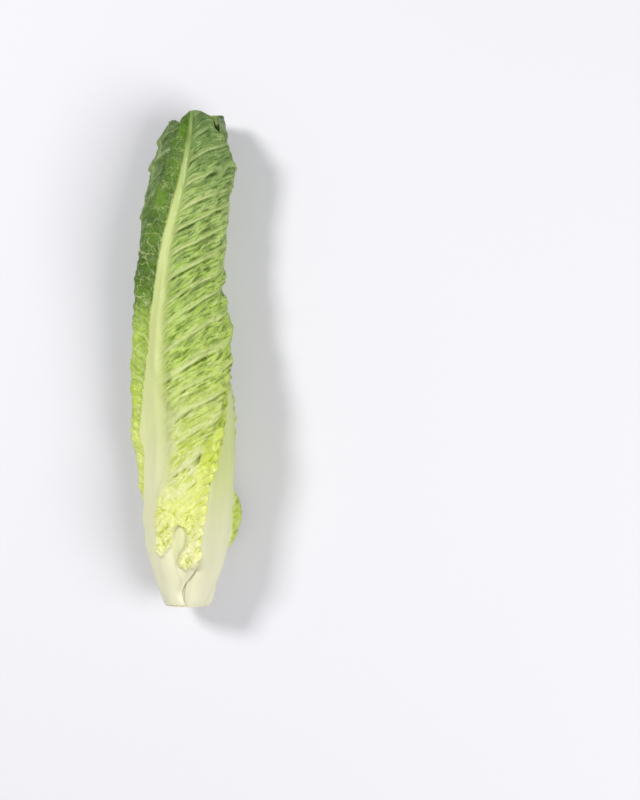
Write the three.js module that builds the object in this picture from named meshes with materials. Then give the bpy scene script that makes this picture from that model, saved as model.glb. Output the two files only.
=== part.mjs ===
// A trimmed head of romaine lettuce (a heart) lying on its side, in millimetres, +Z up.
//
// The head's own axis runs along +Y: the cut butt is at the -Y end and the leaf tips at the +Y end.
// A place in the head is (s, theta, rho): s is the distance from the cut along the axis, theta the
// angle round the axis (0 is straight up, +90 degrees is towards +X) and rho the distance from it.
// The leaves are laid on one by one, from the innermost outwards. Each one is draped over a smooth
// cover of all that is inside it and keeps clear of it, so no two leaves meet.
import * as THREE from "three";

// ---- driving dimensions (mm and degrees) ----
const HEAD_LENGTH = 246;
const AXIS_HEIGHT = 22.2;
const LEAF_COUNT = 15;
const GOLDEN_ANGLE = 137.5; // each leaf stands this far round the stem from the last
const FIRST_AZIMUTH = -57; // rib of the outermost leaf, at its root
const TWIST = 57; // the ribs wind this far round the head on the way to their tips
const WRAP_LIMIT = 152; // no wing reaches further round than this
const HALF_WIDTH = 56; // from the rib to the margin of the widest leaf
const RIB_HALF_WIDTH = 11;
const RIB_THICKNESS = 4.4; // on top of the blade's own
const STALK_BREADTH = 1.15; // how much broader a rib is in its lower half
const BLADE = 0.7;
const RUFFLE = 2; // how far the margin waves outwards
const STEM_TOP = 41;
const FLAT_HALF_ANGLE = 24; // half of the arc that lies flat on the table
const PRESSED = 1.5; // an outer face closer to the table than this lies on it
const LEAF_GAP = 0.45; // clear space under a leaf in the packed lower part
const LOOSE_GAP = 0.5; // and this much more towards the tips
const LEAST_GAP = 0.56; // where a leaf would come closer than this, it is lifted

// ---- colours, from the outermost leaf to the innermost ----
const OUTER_GREEN = new THREE.Color(0xb1c95c);
const DARK_GREEN = new THREE.Color(0x6f9137);
const HEART_YELLOW = new THREE.Color(0xe1e58e);
const STEM_CREAM = new THREE.Color(0xe5e0c4);

// ---- small tools ----
const rad = (degrees) => (degrees * Math.PI) / 180;
const clamp = (x, low, high) => Math.min(high, Math.max(low, x));
const mix = (a, b, t) => a + (b - a) * t;
const ease = (x) => x * x * (3 - 2 * x);
const ramp = (x, from, to) => ease(clamp((x - from) / (to - from), 0, 1));

// Smooth curve through [x, y] points, flat beyond its ends.
function curve(points) {
  const last = points.length - 1;
  const slope = (k) =>
    k <= 0 || k >= last ? 0 : (points[k + 1][1] - points[k - 1][1]) / (points[k + 1][0] - points[k - 1][0]);
  return (x) => {
    if (x <= points[0][0]) return points[0][1];
    if (x >= points[last][0]) return points[last][1];
    const i = points.findIndex((p) => p[0] > x) - 1;
    const h = points[i + 1][0] - points[i][0];
    const t = (x - points[i][0]) / h;
    const from = points[i][1] * (1 + 2 * t) * (1 - t) ** 2 + slope(i) * h * t * (1 - t) ** 2;
    const to = points[i + 1][1] * t * t * (3 - 2 * t) + slope(i + 1) * h * t * t * (t - 1);
    return from + to;
  };
}

// The curve that has the same value everywhere.
const always = (y) => () => y;

// Repeatable draws between -1 and 1 (mulberry32).
function drawer(seed) {
  let state = seed;
  return () => {
    state = (state + 0x6d2b79f5) | 0;
    let t = Math.imul(state ^ (state >>> 15), 1 | state);
    t = (t + Math.imul(t ^ (t >>> 7), 61 | t)) ^ t;
    return ((t ^ (t >>> 14)) >>> 0) / 2147483648 - 1;
  };
}

// ---- the head's inside, over s ----
const stemRadius = curve([[0, 10], [5, 9.6], [14, 7.2], [26, 5], [36, 3.5], [STEM_TOP, 0.5]]);
const hollowRadius = curve([[40, 0], [70, 2.6], [120, 4], [170, 8], [215, 9.5], [240, 8], [252, 6]]);
const axisSway = curve([
  [30, 0], [50, 0.8], [75, 1.8], [100, 0], [125, -2.6], [150, -4.4], [185, -5.2], [HEAD_LENGTH, 2.8],
]);

// How tightly the head is wrapped: the share of its rho that each place keeps.
const girth = curve([
  [0, 0.94], [8, 0.95], [24, 0.97], [50, 0.95], [75, 1], [105, 1.03], [130, 0.98], [150, 0.95],
  [HEAD_LENGTH, 0.98],
]);

// ---- the section across the axis ----
const FLAT = rad(FLAT_HALF_ANGLE);
const fromBelow = (theta) => Math.abs(Math.atan2(Math.sin(theta), -Math.cos(theta)));

// The radial shrink that turns the arc nearest the table into a straight line.
const flatness = (theta) => Math.min(1, Math.cos(FLAT) / Math.cos(Math.min(fromBelow(theta), rad(80))));

// A place's x and z from the axis, with the flat applied, and back again.
function toSection({ s, theta, rho }) {
  const r = rho * flatness(theta);
  return { s, x: r * Math.sin(theta), z: r * Math.cos(theta) };
}
function fromSection({ s, x, z }) {
  const theta = Math.atan2(x, z);
  return { s, theta, rho: Math.hypot(x, z) / flatness(theta) };
}

// ---- a field of rho over the head: rows along s, columns round theta ----
const ROW_STEP = 2;
const ROWS = 132;
const COLUMNS = 120;
const FIRST_S = -4;
const COVER_REACH = 2;
const FULL_TURN = 2 * Math.PI;

function makeField(value) {
  const field = new Float64Array(ROWS * COLUMNS);
  for (let i = 0; i < ROWS; i++) field.fill(value(FIRST_S + i * ROW_STEP), i * COLUMNS, (i + 1) * COLUMNS);
  return field;
}

function sample(field, s, theta) {
  const row = clamp((s - FIRST_S) / ROW_STEP, 0, ROWS - 1.001);
  const turns = theta / FULL_TURN;
  const column = (turns - Math.floor(turns)) * COLUMNS;
  const i = Math.floor(row);
  const j = Math.floor(column) % COLUMNS;
  const at = (di, dj) => field[(i + di) * COLUMNS + ((j + dj) % COLUMNS)];
  const across = column - Math.floor(column);
  return mix(mix(at(0, 0), at(0, 1), across), mix(at(1, 0), at(1, 1), across), row - i);
}

// Replaces each cell by join() of its neighbours, along one direction.
function sweep(field, alongRows, join) {
  const out = new Float64Array(field.length);
  const near = [];
  for (let i = 0; i < ROWS; i++)
    for (let j = 0; j < COLUMNS; j++) {
      near.length = 0;
      for (let d = -COVER_REACH; d <= COVER_REACH; d++) {
        const ii = alongRows ? clamp(i + d, 0, ROWS - 1) : i;
        const jj = alongRows ? j : (j + d + COLUMNS) % COLUMNS;
        near.push(field[ii * COLUMNS + jj]);
      }
      out[i * COLUMNS + j] = join(near);
    }
  return out;
}

// A smooth cover that is nowhere inside the field: the highest neighbour, then a blur of equal reach.
function cover(field) {
  const highest = (list) => Math.max(...list);
  const mean = (list) => list.reduce((a, b) => a + b, 0) / list.length;
  const raised = sweep(sweep(field, true, highest), false, highest);
  return sweep(sweep(raised, true, mean), false, mean);
}

function ringRadius(field, s) {
  const POINTS = 12;
  let sum = 0;
  for (let n = 0; n < POINTS; n++) sum += sample(field, s, (n * FULL_TURN) / POINTS);
  return sum / POINTS;
}

// ---- a leaf's own shape, over v: 0 at its root, 1 at its tip ----
const outline = curve([
  [0, 0], [0.03, 0.03], [0.06, 0.22], [0.1, 0.34], [0.2, 0.48], [0.32, 0.66], [0.42, 0.88],
  [0.6, 1], [0.8, 0.9], [0.93, 0.72], [1, 0.45],
]);
const ribWidth = curve([[0, 1], [0.15, 0.95], [0.4, 0.6], [0.7, 0.25], [1, 0.1]]);
const ribHeight = curve([
  [0, 0.15], [0.05, 0.4], [0.12, 0.7], [0.22, 1], [0.35, 0.7], [0.7, 0.25], [1, 0.02],
]);
const TIP_ROUNDING = 0.06; // the tip's corners end this share of the length below its middle

// ---- the leaves, over their age: 0 is the outermost, 1 the smallest in the heart ----
const tipHeight = curve([[0, HEAD_LENGTH], [0.25, 241], [0.5, 226], [0.75, 185], [1, 105]]);
const rootHeight = curve([[0, 0.6], [0.28, 1.5], [0.6, 14], [1, 33]]);

// How finely each leaf is built: the outer ones have the most cells.
const FINENESS = [
  { upTo: 2, columns: 18, rows: 36 },
  { upTo: 4, columns: 14, rows: 26 },
  { upTo: 9, columns: 12, rows: 14 },
  { upTo: LEAF_COUNT, columns: 12, rows: 12 },
];

// What sets single leaves apart from the rule. Over v, left and right are shares of the half width, and
// flareLeft and flareRight tell how far the margin stands out.
const CHARACTER = {
  leaf_01: {
    left: curve([[0, 0.03], [0.24, 0.02], [0.36, 0.12], [0.6, 0.22], [1, 0.3]]),
    right: curve([[0, 0.3], [0.05, 0.45], [0.075, 1.2], [0.12, 1.15], [0.2, 1.08], [1, 1.08]]),
    flareLeft: curve([[0.28, 0], [0.4, 1.5], [0.6, 3], [0.78, 2.5], [0.92, 0]]),
    flareRight: curve([[0.3, 0], [0.4, 2.5], [0.5, 1], [0.6, 0]]),
    ruffle: 2.4,
    wavesFrom: 0,
  },
  leaf_02: {
    turn: -19, // degrees further round than the rule
    tip: 244,
    left: curve([[0.15, 0.1], [0.3, 0.15], [0.5, 0.95]]),
    right: curve([[0.08, 0.2], [0.12, 0.4], [0.22, 0.4], [0.4, 0.9], [0.6, 1.12], [1, 1.12]]),
    flareRight: curve([[0.09, 0], [0.13, 7], [0.2, 6], [0.25, 0], [0.5, 0], [0.6, 2], [0.75, 2], [0.88, 0]]),
    stalk: 1.5,
  },
  leaf_03: {
    right: curve([[0.08, 0.3], [0.3, 0.4], [0.48, 1]]),
    colour: DARK_GREEN,
  },
};

function leafRule(_, k) {
  const draw = drawer(101 + k);
  const age = k / (LEAF_COUNT - 1);
  const stray = k ? 1 : 0; // the outermost leaf keeps exactly to its place
  const { columns, rows } = FINENESS.find((step) => k < step.upTo);
  const name = "leaf_" + String(k + 1).padStart(2, "0");
  return {
    name,
    azimuth: FIRST_AZIMUTH + GOLDEN_ANGLE * k + 7 * stray * draw(),
    turn: 0,
    twist: TWIST + 6 * stray * draw(),
    root: rootHeight(age),
    tip: tipHeight(age) + 3 * stray * draw(),
    halfWidth: HALF_WIDTH * (1 - 0.72 * age),
    left: always(1),
    right: always(1),
    flareLeft: always(0),
    flareRight: always(0),
    stalk: STALK_BREADTH,
    ribHalf: RIB_HALF_WIDTH * (1 - 0.6 * age),
    ribThick: RIB_THICKNESS * (1 - 0.62 * age),
    ruffle: RUFFLE * (1 - 0.6 * age),
    waves: Math.round(rows / 3.7),
    wavesFrom: 0.35,
    phase: Math.PI * draw(),
    columns,
    rows,
    colour: OUTER_GREEN.clone().lerp(HEART_YELLOW, ramp(age, 0, 0.6)),
    ...CHARACTER[name],
  };
}
const leaves = Array.from({ length: LEAF_COUNT }, leafRule);

// The place and thickness of the point (u across, v along) of a leaf draped over base.
function drape(leaf, base, u, v) {
  const ribHalf = leaf.ribHalf * ribWidth(v) * mix(leaf.stalk, 1, ramp(v, 0.35, 0.6));
  const wing = leaf.halfWidth * (u < 0 ? leaf.left(v) : leaf.right(v)) * outline(v);
  const across = u * (wing + ribHalf * mix(1, 0.4, ramp(v, 0, 0.5)));
  const s = leaf.root + (leaf.tip - leaf.root) * (v - TIP_ROUNDING * u * u * v ** 4);
  const limit = rad(WRAP_LIMIT);
  const wrap = limit * Math.tanh(across / (ringRadius(base, s) + 2) / limit);
  const theta = rad(leaf.azimuth + leaf.turn + leaf.twist * ramp(v, 0.3, 0.9)) + wrap;
  const wave = 0.5 + 0.5 * Math.sin(FULL_TURN * leaf.waves * v + leaf.phase + (u < 0 ? 2 : 0));
  const margin = Math.abs(u) ** 3 * ramp(v, leaf.wavesFrom, leaf.wavesFrom + 0.15);
  const gap = LEAF_GAP + LOOSE_GAP * ramp(s, 110, 240);
  const flare = (u < 0 ? leaf.flareLeft(v) : leaf.flareRight(v)) * ramp(Math.abs(u), 0.5, 1);
  const onRib = ease(clamp(1.6 - (1.2 * Math.abs(across)) / ribHalf, 0, 1));
  return {
    s,
    theta,
    rho: sample(base, s, theta) + gap + leaf.ruffle * margin * wave + flare,
    thick: BLADE + leaf.ribThick * ribHeight(v) * onRib,
  };
}

// The inner face of a leaf as a grid of places, grid[row][column]. Columns gather towards the rib.
function leafGrid(leaf, base) {
  const gather = (q) => Math.sign(q) * Math.abs(q) ** 1.5;
  return Array.from({ length: leaf.rows + 1 }, (_row, b) =>
    Array.from({ length: leaf.columns + 1 }, (_column, a) =>
      drape(leaf, base, gather((2 * a) / leaf.columns - 1), b / leaf.rows),
    ),
  );
}

const lifted = (place) => ({ ...place, rho: place.rho + place.thick, outer: true });
const outerFace = (grid) => grid.map((row) => row.map(lifted));

// Calls visit(place, corners) at points spread over the two flat triangles of every cell of a grid.
function overCells(grid, steps, visit) {
  for (let b = 0; b + 1 < grid.length; b++)
    for (let a = 0; a + 1 < grid[0].length; a++) {
      const corners = [grid[b][a], grid[b][a + 1], grid[b + 1][a + 1], grid[b + 1][a]];
      const flat = corners.map(toSection);
      for (let i = 0; i <= steps; i++)
        for (let j = 0; j <= steps; j++) {
          const f = i / steps;
          const g = j / steps;
          const weights = f >= g ? [1 - f, f - g, g, 0] : [1 - g, 0, f, g - f];
          const at = (key) => weights.reduce((sum, weight, n) => sum + weight * flat[n][key], 0);
          visit(fromSection({ s: at("s"), x: at("x"), z: at("z") }), corners);
        }
    }
}

// Lifts the corners of each cell that comes too close to what lies inside it.
function keepClear(grid, inside) {
  const ROUNDS = 6;
  for (let round = 0; round < ROUNDS; round++) {
    const lift = new Map();
    overCells(grid, 8, ({ s, theta, rho }, corners) => {
      const short = sample(inside, s, theta) + LEAST_GAP - rho;
      if (short > 0) for (const corner of corners) lift.set(corner, Math.max(lift.get(corner) ?? 0, short));
    });
    for (const [corner, by] of lift) corner.rho += by;
  }
}

// Raises the field to the outer face of a leaf.
function addTo(field, grid) {
  overCells(outerFace(grid), 24, ({ s, theta, rho }) => {
    const i = clamp(Math.round((s - FIRST_S) / ROW_STEP), 0, ROWS - 1);
    const j = (Math.round((theta / FULL_TURN) * COLUMNS) + COLUMNS) % COLUMNS;
    field[i * COLUMNS + j] = Math.max(field[i * COLUMNS + j], rho);
  });
}

// How the finished head gives way, or sags, to lie on the table: a share of each place's rho.
function settle(whole, s, theta) {
  const level = AXIS_HEIGHT / Math.cos(FLAT);
  const under = 1 - ramp(fromBelow(theta), FLAT, 2 * FLAT);
  const along = ramp(s, 15, 40) * (1 - ramp(s, 195, 225));
  return mix(girth(s), level / sample(whole, s, theta), under * along);
}

// ---- meshes ----
function toPart(place, whole) {
  const { s, x, z } = toSection({ ...place, rho: place.rho * settle(whole, place.s, place.theta) });
  const height = AXIS_HEIGHT + z;
  return [x + axisSway(s), s - HEAD_LENGTH / 2, place.outer && height < PRESSED ? 0 : height];
}

// A closed blade: the same grid of triangles on both faces, and a rim between them.
function leafGeometry(grid, whole) {
  const rows = grid.length - 1;
  const columns = grid[0].length - 1;
  const position = [...grid.flat(), ...outerFace(grid).flat()].flatMap((place) => toPart(place, whole));
  const inner = (a, b) => b * (columns + 1) + a;
  const outer = (a, b) => inner(a, b) + (rows + 1) * (columns + 1);
  const index = [];
  const quad = (p, q, r, t) => index.push(p, q, r, p, r, t);
  for (let b = 0; b < rows; b++)
    for (let a = 0; a < columns; a++) {
      quad(outer(a, b), outer(a + 1, b), outer(a + 1, b + 1), outer(a, b + 1));
      quad(inner(a + 1, b + 1), inner(a + 1, b), inner(a, b), inner(a, b + 1));
    }
  for (let b = 0; b < rows; b++) {
    quad(inner(0, b), outer(0, b), outer(0, b + 1), inner(0, b + 1));
    quad(outer(columns, b), inner(columns, b), inner(columns, b + 1), outer(columns, b + 1));
  }
  for (let a = 0; a < columns; a++) {
    quad(inner(a + 1, 0), outer(a + 1, 0), outer(a, 0), inner(a, 0));
    quad(inner(a, rows), outer(a, rows), outer(a + 1, rows), inner(a + 1, rows));
  }
  const geometry = new THREE.BufferGeometry();
  geometry.setAttribute("position", new THREE.Float32BufferAttribute(position, 3));
  geometry.setIndex(index);
  geometry.computeVertexNormals();
  return geometry;
}

function leafMesh(leaf, grid, whole) {
  const skin = new THREE.MeshStandardMaterial({
    color: leaf.colour,
    roughness: 0.45,
    side: THREE.DoubleSide,
  });
  const mesh = new THREE.Mesh(leafGeometry(grid, whole), skin);
  mesh.name = leaf.name;
  return mesh;
}

function stemMesh() {
  const levels = [0, 5, 10, 16, 22, 28, 33, 37, 40];
  const side = levels.map((s) => new THREE.Vector2(stemRadius(s) * girth(s), s));
  const profile = [new THREE.Vector2(0, 0), ...side, new THREE.Vector2(0, STEM_TOP)];
  const flesh = new THREE.MeshStandardMaterial({ color: STEM_CREAM, roughness: 0.7 });
  const mesh = new THREE.Mesh(new THREE.LatheGeometry(profile, 24), flesh);
  mesh.position.set(axisSway(0), -HEAD_LENGTH / 2, AXIS_HEIGHT);
  mesh.name = "stem";
  return mesh;
}

// ---- the head, laid on from the inside out, then centred over the part's origin ----
const field = makeField((s) => Math.max(s < STEM_TOP ? stemRadius(s) : 0, hollowRadius(s)));
const grids = leaves.toReversed().map((leaf) => {
  const grid = leafGrid(leaf, cover(field));
  keepClear(grid, field);
  addTo(field, grid);
  return grid;
});
const whole = cover(cover(field));
const head = new THREE.Group();
head.add(stemMesh(), ...leaves.map((leaf, k) => leafMesh(leaf, grids.at(-1 - k), whole)));
const middle = new THREE.Box3().setFromObject(head).getCenter(new THREE.Vector3());
for (const mesh of head.children) mesh.position.add(new THREE.Vector3(-middle.x, -middle.y, 0));

export default head;
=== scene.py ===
import math
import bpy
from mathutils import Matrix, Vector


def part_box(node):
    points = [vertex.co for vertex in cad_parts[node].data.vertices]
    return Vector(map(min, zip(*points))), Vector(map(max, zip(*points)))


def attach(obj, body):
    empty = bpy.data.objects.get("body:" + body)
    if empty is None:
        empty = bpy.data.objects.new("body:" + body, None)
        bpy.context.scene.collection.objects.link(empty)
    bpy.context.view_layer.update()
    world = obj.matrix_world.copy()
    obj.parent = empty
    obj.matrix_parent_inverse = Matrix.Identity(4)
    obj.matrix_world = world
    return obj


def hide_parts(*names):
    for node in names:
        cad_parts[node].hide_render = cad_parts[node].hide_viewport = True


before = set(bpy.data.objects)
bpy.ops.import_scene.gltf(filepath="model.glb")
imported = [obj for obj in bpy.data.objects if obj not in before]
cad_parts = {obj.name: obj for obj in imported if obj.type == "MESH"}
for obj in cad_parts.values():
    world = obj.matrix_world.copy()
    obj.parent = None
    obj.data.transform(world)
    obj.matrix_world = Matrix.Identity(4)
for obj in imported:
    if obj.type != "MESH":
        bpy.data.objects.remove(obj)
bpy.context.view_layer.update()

from types import SimpleNamespace

import bmesh
import bpy
import numpy as np
from mathutils import Vector

# A trimmed head of romaine lettuce lying on its side on a pale table.
#
# Lengths are in millimetres until a mesh is finished. A place in the head is (s, theta, rho): s is the
# distance from the cut stem along the axis, theta the angle round the axis (0 is straight up, +90
# degrees towards +X) and rho the distance from it. The leaves are laid on from the inside outwards,
# each over a smooth cover of all that lies inside it.

MM = 0.001
FULL_TURN = 2 * math.pi

# ---- the head ----
HEAD_LENGTH = 246.0
AXIS_HEIGHT = 22.2
STEM_TOP = 41.0
LEAF_COUNT = 15

# In degrees: how far round each leaf stands from the one outside it, where the outermost stands, and how
# far a leaf twists on its way to the tip.
GOLDEN_ANGLE = 137.5
FIRST_AZIMUTH = -57.0
TWIST = 57.0

# the outermost leaf's blade and rib
HALF_WIDTH = 56.0
RIB_HALF_WIDTH = 11.0
RIB_THICKNESS = 4.4

# Every leaf's thickness, the angle that it reaches round to at most on either side, and how much shorter
# it is beside the tip and at its corners, as shares of its length.
BLADE = 0.65
WRAP_LIMIT = math.radians(152)
TIP_ROUNDING = 0.04
CORNER_ROUNDING = 0.03

# The space between a leaf and its bed, what is added to it toward the tips, where along s each of the two
# comes in, and the least space there is away from the lowest margins.
LEAF_GAP = 0.35
LOOSE_GAP = 0.5
GAP_START = (0, 15)
LOOSE_START = (110, 240)
LEAST_GAP = 0.2

# How the head gives way to the table: where along s it starts and stops resting on it, the half width of
# its flat underside as an angle, and the largest angle from below that is worked out. Parts lower than
# the depth are pressed flat, and parts higher than the reach are left as they are.
REST_START = (15, 40)
REST_END = (195, 225)
FLAT = math.radians(24)
STEEPEST = math.radians(80)
PRESS_DEPTH = 1.2
PRESS_REACH = 5


# ---- small tools ----
def ease(x):
    return x * x * (3 - 2 * x)


def ramp(x, start, end):
    return ease(np.clip((x - start) / (end - start), 0, 1))


def mix(a, b, t):
    return a + (b - a) * t


def curve(points):
    """A smooth line through (x, y) points, flat beyond its ends."""
    x, y = np.array(points, float).T
    slope = np.zeros(len(x))
    slope[1:-1] = (y[2:] - y[:-2]) / (x[2:] - x[:-2])

    def at(where):
        where = np.clip(where, x[0], x[-1])
        i = np.clip(np.searchsorted(x, where, side="right") - 1, 0, len(x) - 2)
        h = x[i + 1] - x[i]
        t = (where - x[i]) / h
        start = y[i] * (1 + 2 * t) * (1 - t) ** 2 + slope[i] * h * t * (1 - t) ** 2
        end = y[i + 1] * ease(t) + slope[i + 1] * h * t * t * (t - 1)
        return start + end

    return at


def steady(value):
    """A curve that keeps one value."""
    return curve([(0, value), (1, value)])


def drawer(seed):
    """Repeatable draws between -1 and 1."""
    whole = 0xFFFFFFFF
    state = seed

    def draw():
        nonlocal state
        state = (state + 0x6D2B79F5) & whole
        t = ((state ^ (state >> 15)) * (1 | state)) & whole
        t = ((t + (t ^ (t >> 7)) * (61 | t)) & whole) ^ t
        return (t ^ (t >> 14)) / 2147483648 - 1

    return draw


def hashed(i, j, seed):
    """Repeatable numbers between 0 and 1 for whole-number places."""
    n = i.astype(np.int64) * 374761393 + j.astype(np.int64) * 668265263 + seed * 974634777
    n = (n ^ (n >> 13)) & 0xFFFFFFFF
    n = (n * 1274126177) & 0xFFFFFFFF
    n = ((n ^ (n >> 16)) * 668265263) & 0xFFFFFFFF
    return (n ^ (n >> 15)) / 4294967296


def noise(x, y, seed):
    """Smooth noise between -1 and 1, one bump or dip a unit. Each use has its own seed, with the
    leaf's number added where the leaves should differ."""
    i, j = np.floor(x), np.floor(y)
    across, along = ease(x - i), ease(y - j)
    low = mix(hashed(i, j, seed), hashed(i + 1, j, seed), across)
    high = mix(hashed(i, j + 1, seed), hashed(i + 1, j + 1, seed), across)
    return 2 * mix(low, high, along) - 1


# ---- the head's inside, over s ----
stem_radius = curve([(0, 10), (5, 9.6), (14, 7.2), (26, 5), (36, 3.5), (STEM_TOP, 0.5)])
hollow_radius = curve([(40, 0), (70, 2.6), (120, 4), (170, 8), (215, 9.5), (240, 8), (252, 6)])
taper = curve(
    [(0, 0.89), (3, 0.945), (8, 0.97), (24, 0.985), (50, 0.955), (75, 1.01), (105, 1.035), (128, 0.965)]
    + [(150, 0.94), (185, 0.925), (222, 0.97), (HEAD_LENGTH, 0.9)]
)
axis_sway = curve(
    [(0, -0.3), (10, -0.5), (20, -0.6), (30, -0.3), (50, 0), (75, 0.8), (100, -0.2), (125, -2.8), (150, -4.8)]
    + [(185, -5.2), (HEAD_LENGTH, 2.8)]
)


# ---- a field of rho over the head: a row for each mm of s, columns round theta ----
FIRST_S = -4
ROWS = 264
COLUMNS = 240
COVER_REACH = 4
JUST_SHORT = 0.001
ROW_S = FIRST_S + np.arange(ROWS, dtype=float)


def sample(field, s, theta):
    row = np.clip(s - FIRST_S, 0, ROWS - 1 - JUST_SHORT)
    column = (theta / FULL_TURN) % 1 * COLUMNS
    i, j = row.astype(int), column.astype(int) % COLUMNS
    after = (j + 1) % COLUMNS
    down, across = row - i, column - np.floor(column)
    low = mix(field[i, j], field[i, after], across)
    high = mix(field[i + 1, j], field[i + 1, after], across)
    return mix(low, high, down)


def swept(field, axis, reach, join):
    """Each cell joined with its neighbours along one axis; the field goes round, but has two ends."""
    mode = "edge" if axis == 0 else "wrap"
    pad = [(reach, reach) if axis == n else (0, 0) for n in (0, 1)]
    wide = np.pad(field, pad, mode=mode)
    size = field.shape[axis]
    return join([np.take(wide, range(d, d + size), axis=axis) for d in range(2 * reach + 1)], axis=0)


def widest(field, reach):
    return swept(swept(field, 0, reach, np.max), 1, reach, np.max)


def blurred(field, reach):
    return swept(swept(field, 0, reach, np.mean), 1, reach, np.mean)


def cover(field):
    """A smooth skin that is nowhere inside the field."""
    half = COVER_REACH // 2
    return blurred(blurred(widest(field, COVER_REACH), half), half)


def cells_at(s, theta):
    i = np.clip(np.rint(s - FIRST_S), 0, ROWS - 1).astype(int)
    j = np.rint(theta / FULL_TURN * COLUMNS).astype(int) % COLUMNS
    return i, j


# ---- the section across the axis ----
def from_below(theta):
    """The angle from straight down, either way."""
    return np.abs(np.arctan2(np.sin(theta), -np.cos(theta)))


def flatness(theta):
    """The radial shrink that turns the arc nearest the table into a straight line."""
    return np.minimum(1, math.cos(FLAT) / np.cos(np.minimum(from_below(theta), STEEPEST)))


def settle(whole, s, theta):
    """How the finished head gives way to lie on the table: a share of each place's rho."""
    level = AXIS_HEIGHT / math.cos(FLAT)
    under = 1 - ramp(from_below(theta), FLAT, 2 * FLAT)
    along = ramp(s, *REST_START) * (1 - ramp(s, *REST_END))
    return mix(taper(s), level / sample(whole, s, theta), under * along)


# ---- a leaf's own shape, over v: 0 at its root, 1 at its tip ----
outline = curve(
    [(0, 0.04), (0.03, 0.05), (0.06, 0.22), (0.1, 0.34), (0.2, 0.48), (0.32, 0.66), (0.42, 0.88)]
    + [(0.6, 1), (0.8, 0.9), (0.93, 0.74), (1, 0.5)]
)
rib_width = curve([(0, 1), (0.15, 0.95), (0.4, 0.6), (0.7, 0.25), (1, 0.1)])
rib_height = curve([(0, 0.15), (0.05, 0.4), (0.12, 0.7), (0.22, 1), (0.35, 0.7), (0.7, 0.25), (1, 0.02)])

# ---- the leaves, over their age: 0 is the outermost, 1 the smallest in the heart ----
tip_height = curve([(0, HEAD_LENGTH), (0.25, 241), (0.5, 226), (0.75, 185), (1, 105)])
root_height = curve([(0, 0.6), (0.28, 1.5), (0.6, 14), (1, 33)])

# What the smallest heart leaf has less of than the outermost, as shares.
WIDTH_LOSS = 0.72
RIB_WIDTH_LOSS = 0.6
RIB_THICKNESS_LOSS = 0.62
RELIEF_LOSS = 0.6
FRILL_LOSS = 0.55

# How far a leaf may stray from the rule either way: in degrees, and for its tip in mm. The seed of its
# draws is counted from the outermost leaf's.
STRAY_AZIMUTH = 7
STRAY_TWIST = 6
STRAY_TIP = 3
LEAF_SEED = 101

# How closely a margin is held to what lies inside it, from 0 to 1, unless its leaf says otherwise.
TUCK = 0.4

# Each step holds for the leaves before its first number. It gives the cells across and along a leaf's
# grid, or the record's slot that the leaf takes its finish from.
FINENESS = [(1, 118, 400), (4, 90, 300), (5, 80, 220), (9, 60, 150), (LEAF_COUNT, 40, 80)]
SLOTS = [(5, "outer_leaf"), (9, "middle_leaf"), (LEAF_COUNT, "heart_leaf")]


class Leaf:
    """What sets one leaf's size and place, by its number k from the outside. The curves run over v."""

    def __init__(self, k):
        draw = drawer(LEAF_SEED + k)
        age = k / (LEAF_COUNT - 1)
        stray = 1 if k else 0
        self.k = k
        self.name = f"leaf_{k + 1:02d}"
        self.azimuth = math.radians(FIRST_AZIMUTH + GOLDEN_ANGLE * k + STRAY_AZIMUTH * stray * draw())
        self.twist = math.radians(TWIST + STRAY_TWIST * stray * draw())
        self.root = float(root_height(age))
        self.tip = float(tip_height(age)) + STRAY_TIP * stray * draw()

        # the blade's width on each side, as a share, how far each margin stands off in mm, and its hold
        self.half_width = HALF_WIDTH * (1 - WIDTH_LOSS * age)
        self.left = steady(1)
        self.right = steady(1)
        self.flare = {-1: steady(0), 1: steady(0)}
        self.tuck = steady(TUCK)

        # the rib, with how much broader it is low down and how full its section is
        self.rib_half = RIB_HALF_WIDTH * (1 - RIB_WIDTH_LOSS * age)
        self.rib_thick = RIB_THICKNESS * (1 - RIB_THICKNESS_LOSS * age)
        self.broad = 1.15
        self.full = 1.6

        # where the blade starts, in half widths of the rib, and over how many mm it comes in
        self.flank = curve([(0.2, 0.75), (0.4, 0.8)])
        self.spread = curve([(0.12, 2.5), (0.35, 6), (1, 5)])

        # shares: the left half's deeper green, the right half's tender blade and its margin's long waves
        self.shade = steady(0)
        self.tender = steady(0)
        self.waves = steady(1)

        # how much further up the head the rib is coloured, partly its own greening and partly painted shade,
        # and how strong the relief and the waves are
        self.rib_green_and_shade = steady(0)
        self.relief = 1 - RELIEF_LOSS * age
        self.frill = 1 - FRILL_LOSS * age

        self.columns, self.rows = next(step[1:] for step in FINENESS if k < step[0])
        self.slot = next(step[1] for step in SLOTS if k < step[0])


leaves = [Leaf(k) for k in range(LEAF_COUNT)]
top_leaf, stalk_leaf, dark_leaf = leaves[:3]

# the outermost leaf, which lies on top
top_leaf.left = curve([(0, 0), (0.14, 0), (0.22, 0.08), (0.3, 0.14), (0.36, 0.17), (0.6, 0.24), (1, 0.3)])
top_leaf.right = curve(
    [(0, 1.4), (0.04, 0.9), (0.075, 1.08), (0.12, 1.02), (0.2, 1.03), (0.29, 1.05), (0.41, 0.97)]
    + [(0.5, 1), (0.57, 0.98), (0.64, 0.82), (0.7, 0.82), (0.85, 0.87), (0.94, 0.92), (1, 0.75)]
)
top_leaf.flare[-1] = curve(
    [(0.12, 0), (0.18, 1.2), (0.24, 2.6), (0.32, 3), (0.42, 3), (0.6, 3.4), (0.7, 2.6), (0.8, 1.2), (0.88, 0)]
)
top_leaf.flare[1] = curve([(0.3, 0), (0.4, 0.8), (0.5, 0.5), (0.6, 0.6), (0.7, 2), (0.8, 1.4), (0.88, 0)])
top_leaf.tuck = curve([(0.28, TUCK), (0.36, 0.85), (0.48, 0.85), (0.58, TUCK), (0.8, TUCK), (0.9, 1)])
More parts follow.
